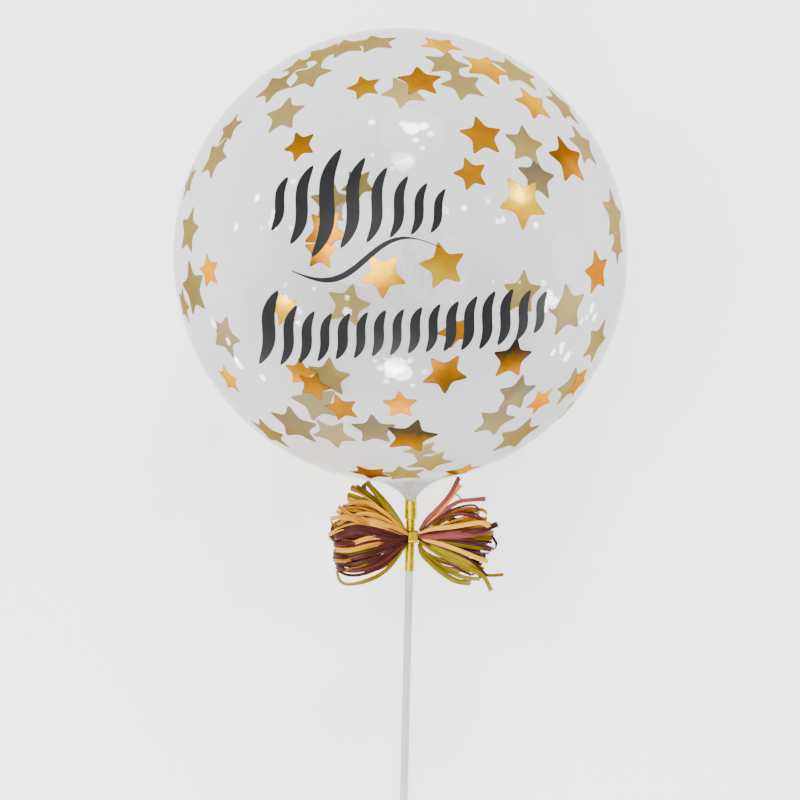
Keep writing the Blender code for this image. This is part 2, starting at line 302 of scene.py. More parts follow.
# Strips that can be told apart in the photo, from the tie outwards, in points of the crop:
# colour, loop or cut end, width in millimetres, place from front to back, then the line
loop = "loop"
cut = "cut"
left_strips = (
    (olive, loop, 7.2, 0.30, (745, 440), (695, 362), (645, 290), (585, 215), (530, 150), (474, 88)),
    (shaded_dark_olive, loop, 4.6, 0.45, (745, 442), (660, 330), (560, 240), (470, 160), (402, 122)),
    (olive, cut, 4.6, 0.55, (740, 445), (640, 330), (520, 240), (430, 205), (350, 180)),
    (olive, loop, 3.4, 0.50, (740, 445), (620, 330), (500, 250), (400, 196), (338, 176)),
    (tan, loop, 3.6, 0.20, (745, 442), (655, 345), (540, 262), (440, 224), (335, 246)),
    (shaded_dark_tan, loop, 4.4, 0.40, (745, 444), (640, 352), (520, 290), (400, 262), (290, 290)),
    (shaded_dark_tan, cut, 4.0, 0.12, (700, 425), (560, 400), (440, 362), (350, 310), (280, 262)),
    (tan, loop, 4.0, 0.25, (742, 446), (640, 372), (540, 322), (440, 312), (330, 350), (262, 392)),
    (lit_light_tan, loop, 5.4, 0.10, (750, 450), (640, 404), (520, 366), (400, 350), (300, 336), (216, 350)),
    (lit_light_tan, loop, 5.4, 0.06, (755, 456), (650, 420), (520, 384), (390, 386), (280, 420), (200, 462)),
    (wine, loop, 6.2, 0.16, (768, 470), (660, 456), (560, 420), (450, 396), (340, 400), (240, 444)),
    (
        shaded_dark_wine, loop, 9.6, 0.00,
        (772, 486), (690, 482), (600, 468), (500, 432), (400, 420), (300, 446), (236, 490),
    ),
    (tan, loop, 4.6, 0.04, (700, 492), (590, 478), (480, 484), (390, 516), (330, 544)),
    (wine, loop, 5.4, 0.22, (768, 500), (660, 500), (540, 500), (420, 520), (320, 536), (236, 532)),
    (tan, loop, 5.0, 0.10, (700, 520), (600, 520), (480, 540), (360, 566), (250, 570)),
    (olive, loop, 4.4, 0.34, (740, 520), (620, 540), (500, 566), (370, 586), (240, 592)),
    (shaded_dark_wine, loop, 6.2, 0.02, (765, 510), (680, 528), (580, 560), (460, 602), (340, 628), (236, 616)),
    (shaded_dark_tan, cut, 3.4, 0.30, (700, 530), (580, 572), (460, 610), (330, 640), (244, 640)),
    (shaded_dark_wine, loop, 5.4, 0.08, (762, 516), (680, 560), (580, 616), (460, 652), (340, 672), (246, 656)),
    (olive, cut, 3.2, 0.26, (740, 520), (640, 590), (540, 640), (430, 690), (330, 706)),
    (wine, loop, 4.6, 0.04, (760, 520), (680, 584), (590, 650), (480, 696), (360, 712), (256, 690)),
    (shaded_dark_wine, loop, 3.2, 0.18, (758, 524), (660, 626), (560, 694), (440, 738), (340, 744), (262, 712)),
    (
        olive, loop, 4.4, 0.02,
        (752, 540), (700, 612), (640, 684), (556, 748),
        (450, 790), (346, 808), (296, 794), (272, 756), (264, 716),
    ),
)
right_strips = (
    (
        lit_light_wine, cut, 4.6, 0.10,
        (846, 430), (896, 358), (960, 290), (1020, 226), (1070, 160), (1108, 90), (1124, 58),
    ),
    (lit_light_tan, cut, 4.8, 0.30, (850, 432), (920, 352), (990, 290), (1050, 220), (1092, 160), (1130, 112)),
    (shaded_dark_olive, cut, 1.4, 0.60, (850, 432), (930, 330), (1020, 230), (1100, 176), (1146, 214)),
    (lit_light_wine, cut, 4.4, 0.20, (850, 436), (930, 362), (1020, 290), (1120, 226), (1210, 212), (1306, 206)),
    (wine, loop, 2.2, 0.34, (850, 436), (940, 370), (1040, 300), (1140, 262), (1230, 252), (1278, 292)),
    (shaded_dark_tan, loop, 3.6, 0.50, (850, 438), (940, 380), (1040, 320), (1140, 284), (1220, 276), (1262, 310)),
    (wine, loop, 3.4, 0.14, (850, 440), (950, 366), (1050, 322), (1150, 312), (1240, 332), (1316, 372)),
    (shaded_dark_wine, loop, 1.8, 0.24, (850, 440), (950, 372), (1060, 316), (1170, 300), (1250, 316), (1300, 356)),
    (olive, cut, 3.0, 0.40, (850, 446), (930, 412), (1010, 400), (1090, 392)),
    (lit_light_tan, cut, 4.6, 0.04, (844, 452), (940, 420), (1060, 404), (1180, 384), (1280, 372), (1336, 396)),
    (shaded_dark_wine, cut, 5.6, 0.12, (850, 460), (960, 446), (1080, 440), (1200, 436), (1310, 416), (1392, 384)),
    (
        lit_light_wine, loop, 8.2, 0.00,
        (842, 478), (940, 474), (1060, 462), (1180, 450), (1270, 436), (1352, 430),
    ),
    (olive, loop, 5.0, 0.30, (850, 476), (980, 474), (1120, 470), (1250, 462), (1374, 448)),
    (shaded_dark_olive, cut, 4.4, 0.40, (850, 480), (1000, 486), (1150, 490), (1260, 484), (1352, 486)),
    (wine, loop, 4.6, 0.16, (850, 490), (980, 488), (1110, 494), (1230, 512), (1330, 534)),
    (shaded_dark_wine, loop, 3.0, 0.10, (850, 494), (980, 500), (1110, 512), (1240, 530), (1340, 546), (1380, 572)),
    (olive, cut, 3.0, 0.24, (850, 494), (960, 504), (1080, 524), (1180, 540), (1290, 556)),
    (wine, loop, 2.0, 0.22, (850, 496), (980, 520), (1120, 556), (1240, 584), (1340, 596)),
    (lit_light_tan, cut, 4.4, 0.06, (850, 494), (960, 516), (1080, 552), (1180, 590), (1260, 622), (1324, 644)),
    (
        lit_light_olive, cut, 9.4, 0.20,
        (850, 500), (930, 548), (1020, 590), (1110, 632), (1200, 676), (1286, 716),
    ),
    (shaded_dark_wine, cut, 2.6, 0.12, (850, 500), (960, 530), (1080, 570), (1190, 628), (1270, 690), (1318, 744)),
    (olive, cut, 3.4, 0.26, (850, 504), (960, 590), (1090, 652), (1220, 716), (1330, 744), (1430, 740)),
    (olive, cut, 4.2, 0.16, (850, 504), (960, 566), (1090, 620), (1210, 690), (1300, 754), (1350, 848)),
    (olive, loop, 5.2, 0.08, (846, 520), (880, 592), (960, 654), (1060, 716), (1160, 760), (1282, 780)),
    (olive, loop, 6.0, 0.04, (842, 530), (862, 598), (930, 662), (1020, 734), (1110, 786), (1210, 802)),
)

# Strips behind those: how many on each side, and the colours from the top down
filling_count = 40
filling_looped = 0.72  # share of them that are loops
filling_angles = {-1: (-25.0, 38.0), 1: (-31.0, 22.0)}
filling_colours = (
    (50, "olive"),
    (37, "tan"),
    (12, "tan"),
    (2, "wine"),
    (-26, "wine"),
)
hair_count = 44
hair_sides = 5

# The floor, a little below the balloon so that the two never touch
floor_size = 8.0
floor_drop = 0.0004

dice = random.Random(20)


def upright_frame():
    """Return the matrix that lays the upright balloon down, with the balloon's radius and centre."""
    mounts = {mount["name"]: mount for mount in frame["record"]["mounts"]}
    low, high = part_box("balloon")
    radius = (high.x - low.x) / 2
    flat = mounts["resting_flat"]["pos_m"]
    centre = Vector(((high.x + low.x) / 2, flat[1], high.z - radius))
    along = -Vector(mounts["stick_end"]["axis"]).normalized()
    low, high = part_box("stick")
    end = Vector(mounts["stick_end"]["pos_m"])
    end.x = (low.x + high.x) / 2
    origin = end + along * (centre - end).dot(along)
    side = Vector((1.0, 0.0, 0.0))
    turn = Matrix((side, along.cross(side), along)).transposed().to_4x4()
    return Matrix.Translation(origin) @ turn, radius, centre


laid, balloon_radius, balloon_place = upright_frame()
stood = laid.inverted()
balloon_centre = stood @ balloon_place

picture_right = Vector((math.cos(camera_roll), 0.0, math.sin(camera_roll)))
picture_up = Vector((-math.sin(camera_roll), 0.0, math.cos(camera_roll)))
picture_back = Vector((0.0, -1.0, 0.0))


def upright_box(name):
    """Return the lowest and highest corner of a CAD node on the upright balloon."""
    points = [stood @ vertex.co for vertex in frame["nodes"][name].data.vertices]
    low = Vector([min(point[axis] for point in points) for axis in range(3)])
    high = Vector([max(point[axis] for point in points) for axis in range(3)])
    return low, high


def camera_target():
    """Return the upright point that the middle of the picture looks at."""
    right = (balloon_in_picture[0] - picture_middle) * pixel_at_centre
    down = (balloon_in_picture[1] - picture_middle) * pixel_at_centre
    return balloon_centre - picture_right * right + picture_up * down


eye = camera_target() + picture_back * camera_distance


def picture_ray(across, down):
    """Return the direction in which a place in the picture is seen."""
    ray = picture_right * (across - picture_middle) - picture_up * (down - picture_middle)
    return (ray - picture_back * picture_focus).normalized()


def on_film(across, down, in_front):
    """Return the direction from the balloon's centre to the film at a place in the picture."""
    ray = picture_ray(across, down)
    away = eye - balloon_centre
    middle = -away.dot(ray)
    square = balloon_radius**2 - away.length_squared + middle**2
    half = math.sqrt(max(square, 0.0))
    reach = middle - half if in_front else middle + half
    return (away + ray * reach).normalized()


def in_bow(across, down):
    """Return the upright point at a place in the crop of the bow, without its depth."""
    right = (across - tie_in_crop[0]) * crop_pixel
    up = (tie_in_crop[1] - down) * crop_pixel
    place = tie_middle + picture_right * right + picture_up * up
    place.y = 0.0
    return place


stick_low, stick_high = upright_box("stick")
ribbon_low, ribbon_high = upright_box("neck_ribbon")
tie_low, tie_high = upright_box("bow_tie")
tail_end = upright_box("balloon")[0].z
neck_end = -(balloon_radius + neck_length)
to_neck = Vector((0.0, 0.0, neck_end)) - balloon_centre
neck_axis = to_neck.normalized()
stick_radius = (stick_high.x - stick_low.x) / 2
waist_middle = tie_low.y + tie_thickness + waist_depth / 2
tie_middle = Vector((tie_shift, waist_middle, (tie_low.z + tie_high.z) / 2))


def new_material(name):
    """Return a material with its node tree and its one shader."""
    material = bpy.data.materials.new(name)
    material.use_nodes = True
    tree = material.node_tree
    return material, tree, tree.nodes["Principled BSDF"]


def set_values(node, **values):
    """Set the inputs of a node or shader by name."""
    for name, value in values.items():
        node.inputs[name.replace("_", " ")].default_value = value


def add_node(tree, kind, **values):
    """Add a shader node and set its inputs by name."""
    node = tree.nodes.new(kind)
    set_values(node, **values)
    return node


def add_place(tree):
    """Return the place in the object, for patterns that run through it."""
    return tree.nodes.new("ShaderNodeTexCoord").outputs["Object"]


def add_uv(tree, name):
    """Return the place in a UV map."""
    node = tree.nodes.new("ShaderNodeUVMap")
    node.uv_map = name
    return node.outputs["UV"]


def split_uv(tree, name):
    """Return the two numbers that a UV map holds."""
    parts = tree.nodes.new("ShaderNodeSeparateXYZ")
    tree.links.new(add_uv(tree, name), parts.inputs["Vector"])
    return parts.outputs


def add_stretched(tree, name, scale):
    """Return the place in a UV map, stretched so that a noise over it runs in fibres."""
    stretch = add_node(tree, "ShaderNodeMapping", Scale=scale)
    tree.links.new(add_uv(tree, name), stretch.inputs["Vector"])
    return stretch.outputs["Vector"]


def add_noise(tree, place, **values):
    """Return a noise over a place."""
    node = add_node(tree, "ShaderNodeTexNoise", **values)
    tree.links.new(place, node.inputs["Vector"])
    return node.outputs["Fac"]


def add_math(tree, kind, operation, *terms):
    """Return a sum of plain numbers and of what other nodes give."""
    node = tree.nodes.new(kind)
    node.operation = operation
    for socket, term in zip(node.inputs, terms):
        if isinstance(term, bpy.types.NodeSocket):
            tree.links.new(term, socket)
        else:
            socket.default_value = term
    return node.outputs[0]


def paint(tree, shader, factor, *stops):
    """Colour a shader by a ramp through the given stops."""
    ramp = tree.nodes.new("ShaderNodeValToRGB")
    elements = ramp.color_ramp.elements
    while len(elements) < len(stops):
        elements.new(0.5)
    for element, (place, colour) in zip(elements, stops):
        element.position = place
        element.color = (*colour, 1.0)
    tree.links.new(factor, ramp.inputs["Fac"])
    tree.links.new(ramp.outputs["Color"], shader.inputs["Base Color"])


def add_bump(tree, shader, height, strength, distance):
    """Roughen a shader with a height."""
    bump = add_node(tree, "ShaderNodeBump", Strength=strength, Distance=distance)
    tree.links.new(height, bump.inputs["Height"])
    tree.links.new(bump.outputs["Normal"], shader.inputs["Normal"])


def film_material(name, alpha, metallic, rim, dark, light):
    """Return the clear film: see-through by a plain value, glossy, a little mottled.

    A metallic film mirrors by its own colour, and the rim says how much of that is left where
    the film is seen edge on, so that its outline doesn't fade into the floor.
    """
    material, tree, shader = new_material(name)
    place = add_place(tree)
    cloud = add_noise(tree, place, Scale=5.0, Detail=3.0, Roughness=0.55)
    paint(tree, shader, cloud, (0.3, dark), (0.7, light))
    set_values(shader, Alpha=alpha, Metallic=metallic, Specular_Tint=(rim, rim, rim, 1.0))
    set_values(shader, Roughness=0.05, IOR=1.7, Specular_IOR_Level=0.9)
    ripple = add_noise(tree, place, Scale=14.0, Detail=2.0, Roughness=0.5)
    add_bump(tree, shader, ripple, strength=0.25, distance=0.0010)
    return material


def foil_material(name, roughness, edge_on, *stops):
    """Return a gold foil whose tone follows the painted reflection and painted shade given for each star,
    with a dark cut edge.
    """
    material, tree, shader = new_material(name)
    place = add_place(tree)
    shade = split_uv(tree, "shade")
    cloud = add_noise(tree, place, Scale=60.0, Detail=2.0, Roughness=0.45, Distortion=0.6)
    wander = add_math(tree, "ShaderNodeMath", "MULTIPLY_ADD", cloud, 0.24, shade["X"])
    edge = add_node(
        tree, "ShaderNodeMapRange", From_Min=0.90, From_Max=1.0, To_Min=-0.12, To_Max=0.14
    )
    tree.links.new(shade["Y"], edge.inputs["Value"])
    tone = add_math(tree, "ShaderNodeMath", "ADD", wander, edge.outputs["Result"])
    paint(tree, shader, tone, *stops)
    set_values(shader, Metallic=1.0, Specular_Tint=(*edge_on, 1.0), Roughness=roughness)
    wrinkle = add_noise(tree, place, Scale=70.0, Detail=2.0, Roughness=0.5)
    add_bump(tree, shader, wrinkle, strength=0.25, distance=0.0006)
    return material


def ink_material():
    """Return the charcoal of the strokes, satin and faintly uneven."""
    material, tree, shader = new_material("dark_print")
    cloud = add_noise(tree, add_place(tree), Scale=30.0, Detail=3.0)
    paint(tree, shader, cloud, (0.3, (0.004, 0.004, 0.005)), (0.7, (0.008, 0.008, 0.009)))
    set_values(shader, Roughness=0.40, Specular_IOR_Level=0.15)
    add_bump(tree, shader, cloud, strength=0.1, distance=0.0003)
    return material


def plastic_material():
    """Return the white plastic of the stick."""
    material, tree, shader = new_material("stick_plastic")
    cloud = add_noise(tree, add_place(tree), Scale=22.0, Detail=4.0, Roughness=0.6)
    paint(tree, shader, cloud, (0.3, (0.36, 0.36, 0.335)), (0.7, (0.45, 0.45, 0.415)))
    set_values(shader, Roughness=0.38, Subsurface_Weight=0.15)
    set_values(shader, Subsurface_Radius=(0.002, 0.002, 0.002))
    add_bump(tree, shader, cloud, strength=0.08, distance=0.0004)
    return material


def ribbon_material(name, edge_on, dark, light, roughness):
    """Return a satin ribbon with threads along it."""
    material, tree, shader = new_material(name)
    place = add_stretched(tree, "thread", (3500.0, 120.0, 1.0))
    thread = add_noise(tree, place, Scale=1.0, Detail=3.0, Roughness=0.6)
    paint(tree, shader, thread, (0.3, dark), (0.7, light))
    set_values(shader, Metallic=1.0, Specular_Tint=(*edge_on, 1.0), Roughness=roughness)
    add_bump(tree, shader, thread, strength=0.3, distance=0.0002)
    return material


def raffia_material(name, gloss, dark, middle, light, roughness):
    """Return dry raffia: fibres along each strip, and each strip with a tone that is partly its own and
    partly painted shade and painted light.
    """
    material, tree, shader = new_material(name)
    tone = split_uv(tree, "strip")["X"]
    place = add_stretched(tree, "fibre", (760.0, 34.0, 1.0))
    apart = (83.0, 83.0, 83.0)
    place = add_math(tree, "ShaderNodeVectorMath", "MULTIPLY_ADD", tone, apart, place)
    fibre = add_noise(tree, place, Scale=1.0, Detail=3.0, Roughness=0.62)
    mixed = add_math(tree, "ShaderNodeMath", "MULTIPLY_ADD", tone, 0.34, fibre)
    paint(tree, shader, mixed, (0.42, dark), (0.62, middle), (0.88, light))
    set_values(shader, Roughness=roughness, Specular_IOR_Level=0.20)
    set_values(shader, Specular_Tint=(*gloss, 1.0))
    add_bump(tree, shader, fibre, strength=0.6, distance=0.00035)
    return material


def finish_mesh(name, bm, materials):
    """Lay a mesh down and return it as an object in the scene."""
    bmesh.ops.recalc_face_normals(bm, faces=bm.faces)
    mesh = bpy.data.meshes.new(name)
    bm.to_mesh(mesh)
    bm.free()
    mesh.transform(laid)
    for vertex in mesh.vertices:
        vertex.co.z = max(vertex.co.z, floor_clearance)
    for polygon in mesh.polygons:
        polygon.use_smooth = True
    for material in materials:
        mesh.materials.append(material)
    obj = bpy.data.objects.new(name, mesh)
    bpy.context.scene.collection.objects.link(obj)
    return obj


def join_rings(bm, rings, around=True):
    """Make faces between rings of vertices and return them."""
    faces = []
    for ring, after in zip(rings, rings[1:]):
        count = len(ring)
        for step in range(count if around else count - 1):
            beside = (step + 1) % count
            faces.append(bm.faces.new((ring[step], ring[beside], after[beside], after[step])))
    return faces


def close_ring(bm, ring, middle):
    """Fill a ring with faces round a middle vertex and return them."""
    return [bm.faces.new((middle, ring[step - 1], ring[step])) for step in range(len(ring))]


def sharpen(rim):
    """Keep the shading of a thin patch apart from its rim."""
    for face in rim:
        for edge in face.edges:
            edge.smooth = False


def side_directions(along):
    """Return two directions square to an axis."""
    first = Vector((1.0, 0.0, 0.0))
    first = (first - along * first.dot(along)).normalized()
    return first, along.cross(first)


def pleats(angle, from_axis):
    """Return how far the gathered film stands out at an angle round the neck."""
    fade = max(0.0, 1.0 - from_axis / pleat_reach) ** 2
    wander = 0.7 * math.sin(3 * angle + 0.8) + 0.4 * math.sin(5 * angle + 2.1)
    fold = math.sin(pleat_count * angle + wander)
    finer = 0.35 * math.sin((2 * pleat_count + 5) * angle + 1.3 + wander)
    share = min(1.0, from_axis / 0.012)
    return pleat_depth * (fold + finer) * fade * (0.25 + 0.75 * share)


def add_ring(bm, centre, directions, radius, fold=0.0, gap=0.0):
    """Add a ring of vertices, folded by a share of the pleats and drawn in by a gap."""
    first, second = directions
    ring = []
    for step in range(film_segments):
        angle = step / film_segments * math.tau
        out = first * math.cos(angle) + second * math.sin(angle)
        ring.append(bm.verts.new(centre + out * (radius + pleats(angle, radius) * fold - gap)))
    return ring


def flare_profile():
    """Return the radius and height of the film from where it leaves the bubble to the neck."""
    flare_angle = math.asin(flare_radius / balloon_radius)
    start = Vector((flare_radius, balloon_radius * math.cos(flare_angle), 0.0))
    end = Vector((flare_end_radius, to_neck.length, 0.0))
    along_skin = Vector((-math.cos(flare_angle), math.sin(flare_angle), 0.0))
    start_handle = start + along_skin * flare_radius * flare_skin_pull
    end_handle = end - Vector((0.0, neck_length * flare_neck_pull, 0.0))
    return geometry.interpolate_bezier(start, start_handle, end_handle, end, flare_rings)


def make_film():
    """Make the film: the bubble, the gathered flare of its neck, and the tail over the stick."""
    bm = bmesh.new()
    pole = bm.verts.new(balloon_centre - neck_axis * balloon_radius)
    skin_angle = math.pi - math.asin(flare_radius / balloon_radius)
    profile = []
    for step in range(1, film_rings + 1):
        angle = step / film_rings * skin_angle
        profile.append((balloon_radius * math.sin(angle), -balloon_radius * math.cos(angle)))
    profile += [(point.x, point.y) for point in flare_profile()[1:]]
    sides = side_directions(neck_axis)
    rings = []
    for radius, height in profile:
        fold = 1.0 if height > 0 else 0.0
        rings.append(add_ring(bm, balloon_centre + neck_axis * height, sides, radius, fold))
    plug_height = stick_high.z + socket_gap
    tail_profile = []
    for step in range(1, tail_rings + 1):
        tail_profile.append((tail_radius, neck_end + (tail_end - neck_end) * step / tail_rings))
    tail_profile += [(socket_radius, tail_end), (socket_radius, plug_height)]
    sides = side_directions(Vector((0.0, 0.0, -1.0)))
    for radius, height in tail_profile:
        rings.append(add_ring(bm, Vector((0.0, 0.0, height)), sides, radius))
    join_rings(bm, rings)
    close_ring(bm, rings[0], pole)
    close_ring(bm, rings[-1], bm.verts.new((0.0, 0.0, plug_height)))
    look = film_material(
        "clear_film",
        alpha=0.26,
        metallic=1.0,
        rim=0.3,
        dark=(0.10, 0.10, 0.120),
        light=(0.15, 0.15, 0.172),
    )
    film = finish_mesh("film", bm, [look])
    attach(film, "root")
    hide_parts("balloon")


def make_gathers():
    """Make the gathered film of the neck, which lies in many folds and looks denser."""
    bm = bmesh.new()
    sides = side_directions(neck_axis)
    flare = flare_profile()
    rings = []
    for wall, gap in ((flare, gather_gap), (flare[::-1], gather_gap * 2)):
        for point in wall:
            centre = balloon_centre + neck_axis * point.y
            rings.append(add_ring(bm, centre, sides, point.x, gather_fold, gap))
    join_rings(bm, rings + [rings[0]])
    look = film_material(
        "gathered_film",
        alpha=0.26,
        metallic=0.0,
        rim=1.0,
        dark=(0.22, 0.21, 0.19),
        light=(0.42, 0.40, 0.36),
    )
    piece = finish_mesh("gathered_neck", bm, [look])
    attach(piece, "root")


def film_point(normal, offset, lift):
    """Return the point on the film at an offset from a place, lifted off it."""
    arc = offset.length / balloon_radius
    direction = normal * math.cos(arc) + offset.normalized() * math.sin(arc)
    return balloon_centre + direction * (balloon_radius + lift)


def star_outline(size):
    """Return a star's outline: five tips and five notches, the tips a little rounded."""
    corners = []
    for corner in range(11):
        angle = math.pi / 2 + corner * math.pi / 5
        reach = size * star_waist if corner % 2 else size
        corners.append(Vector((math.cos(angle), math.sin(angle))) * reach)
    outline = []
    for start, end in zip(corners, corners[1:]):
        outline += [start.lerp(end, step / star_steps) for step in range(star_steps)]
    for softening in range(2):
        smooth = []
        for place, point in enumerate(outline):
            beside = outline[place - 1] + outline[(place + 1) % len(outline)]
            smooth.append(point * 0.6 + beside * 0.2)
        outline = smooth
    return outline


def add_star(bm, shade, layer_lift, in_front, across, down, size, turn, top_painted_shade, bottom_painted_shade):
    """Add one star: a thin closed patch of foil that follows the film."""
    if not in_front:
        size *= far_growth
    normal = on_film(across, down, in_front)
    up = (picture_up - normal * picture_up.dot(normal)).normalized()
    right = up.cross(normal)
    lean = math.radians(turn)
    first = right * math.cos(lean) + up * math.sin(lean)
    second = up * math.cos(lean) - right * math.sin(lean)
    outline = [first * point.x + second * point.y for point in star_outline(size)]
    layers = []
    for layer, lift in enumerate((star_outside + layer_lift, star_inside + layer_lift)):
        rings = [[bm.verts.new(film_point(normal, Vector(), lift))]]
        for share in star_shares:
            ring = [bm.verts.new(film_point(normal, offset * share, lift)) for offset in outline]
            rings.append(ring)
        for face in close_ring(bm, rings[1], rings[0][0]) + join_rings(bm, rings[1:]):
            face.material_index = layer
        layers.append(rings)
    sharpen(join_rings(bm, [rings[-1] for rings in layers]))
    # Painted reflection and shade: the foil goes from its top tone to its bottom tone up the picture
    middle = balloon_centre + normal * balloon_radius
    for rings in layers:
        for rim, ring in zip(star_rims, rings):
            for vertex in ring:
                height = 0.5 + (vertex.co - middle).dot(up) / size * 0.9
                tone = bottom_painted_shade + (top_painted_shade - bottom_painted_shade) * min(1.0, max(0.0, height))
                for corner in vertex.link_loops:
                    corner[shade].uv = (tone, rim)


def make_stars():
    """Make all the stars on the film, orange gold outside and pale champagne inside."""
    # Both ramps run from bright gold to nearly black; the darker stops are painted reflection and painted
    # shade
    outside = foil_material(
        "gold_outside",
        0.22,
        (0.50, 0.34, 0.002),
        (0.0, (0.98, 0.66, 0.06)),
        (0.28, (0.60, 0.33, 0.0003)),
        (0.46, (0.54, 0.195, 0.0003)),
        (0.68, (0.24, 0.090, 0.003)),
        (0.90, (0.035, 0.026, 0.018)),
    )
    inside = foil_material(
        "gold_inside",
        0.40,
        (1.0, 0.78, 0.35),
        (0.0, (0.95, 0.76, 0.24)),
        (0.30, (0.76, 0.56, 0.08)),
        (0.55, (0.46, 0.31, 0.018)),
        (0.95, (0.12, 0.065, 0.006)),
    )
    bm = bmesh.new()
    shade = bm.loops.layers.uv.new("shade")
    for number, star in enumerate(stars):
        add_star(bm, shade, number % star_layers * star_layer_gap, *star)
    piece = finish_mesh("gold_stars", bm, [outside, inside])
    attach(piece, "root")


def stroke_shape(kind, length, width):
    """Return a stroke's spine and half widths, along and across its length."""
    spine = []
    for step in range(stroke_steps + 1):
        share = step / stroke_steps
        if kind == "leaf":
            bend = 0.05
            swell = math.sin(math.pi * share) ** 0.55
        else:
            bend = 0.10
            swell = 0.15 + 0.85 * math.sin(math.pi * min(1.0, share * 1.15)) ** 1.2
        sideways = bend * length * math.sin(math.tau * share)
        spine.append((sideways, (share - 0.5) * length, max(width / 2 * swell, 0.25)))
    return spine


def patch_rim(rows):
    """Return the vertices round a patch of rows, in their order."""
    far_side = [row[-1] for row in rows[-2::-1]]
    return [row[0] for row in rows] + rows[-1][1:] + far_side + rows[0][-2:0:-1]


def add_stroke(bm, kind, across, down, length, width, slant):
    """Add one stroke: a thin closed band that follows the film."""
    lean = math.radians(slant)
    right = Vector((math.cos(lean), math.sin(lean)))
    up = Vector((math.sin(lean), -math.cos(lean)))
    rims = []
    for lift in (stroke_outside, stroke_inside):
        rows = []
        for bend, along, half in stroke_shape(kind, length, width):
            row = []
            for side in (-1.0, -0.5, 0.0, 0.5, 1.0):
                place = Vector((across, down)) + up * along + right * (bend + half * side)
                normal = on_film(place.x, place.y, front)
                row.append(bm.verts.new(balloon_centre + normal * (balloon_radius + lift)))
            rows.append(row)
        join_rings(bm, rows, around=False)
        rims.append(patch_rim(rows))
    sharpen(join_rings(bm, rims))


def make_strokes():
    """Make the two rows of dark strokes on the front of the film."""
    bm = bmesh.new()
    for stroke in strokes:
        add_stroke(bm, *stroke)
    piece = finish_mesh("dark_strokes", bm, [ink_material()])
    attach(piece, "root")


def add_level_ring(bm, radii, height):
    """Add a level ring of vertices round the stick, with a radius for each of its steps."""
    ring = []
    for step, radius in enumerate(radii):
        angle = step / len(radii) * math.tau
        ring.append(bm.verts.new((radius * math.cos(angle), radius * math.sin(angle), height)))
    return ring


def make_neck_ribbon():
    """Make the ribbon wound round the tail and the stick, turn over turn."""
    around = 72
    rows = 190
    pitch = 0.0031
    lap_height = 0.00022
    wave_height = 0.00006
    wall = 0.0004
    upper = 0.0060
    lower = stick_radius + 0.0007
    step_top = tail_end - 0.0007
    step_length = 0.0026
    step_inside = tail_end - 0.0003
    top = ribbon_high.z
    bottom = ribbon_low.z
    bm = bmesh.new()
    uv = bm.loops.layers.uv.new("thread")
    rings = []
    for row in range(rows + 1):
        height = top + (bottom - top) * row / rows
        drop = min(1.0, max(0.0, (step_top - height) / step_length))
        drop = drop * drop * (3 - 2 * drop)
        radii = []
        for step in range(around):
            angle = step / around * math.tau
            turns = (top - height) / pitch + step / around
            saw = turns - math.floor(turns)
            lap = lap_height * min(1.0, saw * 9) * (1.0 - 0.75 * saw)
            wave = wave_height * math.sin(7 * angle + 4000 * height)
            radii.append(upper + (lower - upper) * drop + lap + wave)
        rings.append(add_level_ring(bm, radii, height))
    for radius, height in ((lower, bottom), (lower, step_inside), (upper, step_inside), (upper, top)):
        rings.append(add_level_ring(bm, [radius - wall] * around, height))
    join_rings(bm, rings + [rings[0]])
    for face in bm.faces:
        centre = face.calc_center_median()
        middle = math.atan2(centre.y, centre.x)
        for corner in face.loops:
            angle = math.atan2(corner.vert.co.y, corner.vert.co.x)
            angle = middle + (angle - middle + math.pi) % math.tau - math.pi
            corner[uv].uv = (corner.vert.co.z + angle / math.tau * pitch, angle * 0.005)
    gold = ribbon_material(
        "dull_gold_ribbon",
        edge_on=(1.0, 0.76, 0.1),
        dark=(0.26, 0.17, 0.001),
        light=(0.80, 0.60, 0.006),
        roughness=0.36,
    )
    piece = finish_mesh("neck_ribbon_turns", bm, [gold])
    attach(piece, "root")
    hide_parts("neck_ribbon")


def band_corners(faces, near, far):
    """Yield each corner of the faces between two rings, with its step and what its ring holds."""
    for step, face in enumerate(faces):
        beside = (step + 1) % len(faces)
        yield from zip(face.loops, (step, beside, beside, step), (near, near, far, far))


def add_band(bm, uv, line, across, width, bulge):
    """Add a closed ribbon along a ring of points, its width along one direction."""
    count = len(line)
    lanes = (-1.0, -0.6, 0.0, 0.6, 1.0)
    centre = sum(line, Vector()) / count
    rings = []
    for place in range(count):
        ahead = line[(place + 1) % count] - line[place - 1]
        out = across.cross(ahead).normalized()
        if out.dot(line[place] - centre) < 0:
            out = -out
        ring = []
        for lane in lanes:
            rise = tape_thickness + bulge * (1 - lane * lane)
            ring.append(bm.verts.new(line[place] + across * (lane * width / 2) + out * rise))
        for lane in reversed(lanes):
            ring.append(bm.verts.new(line[place] + across * (lane * width / 2)))
        rings.append(ring)
    reach = 0.0
    for place in range(count):
        after = (place + 1) % count
        length = (line[after] - line[place]).length
        faces = join_rings(bm, (rings[place], rings[after]))
        for corner, lane, along in band_corners(faces, reach, reach + length):
            corner[uv].uv = (min(lane, len(faces) - lane) * width / len(lanes), along)
        reach += length


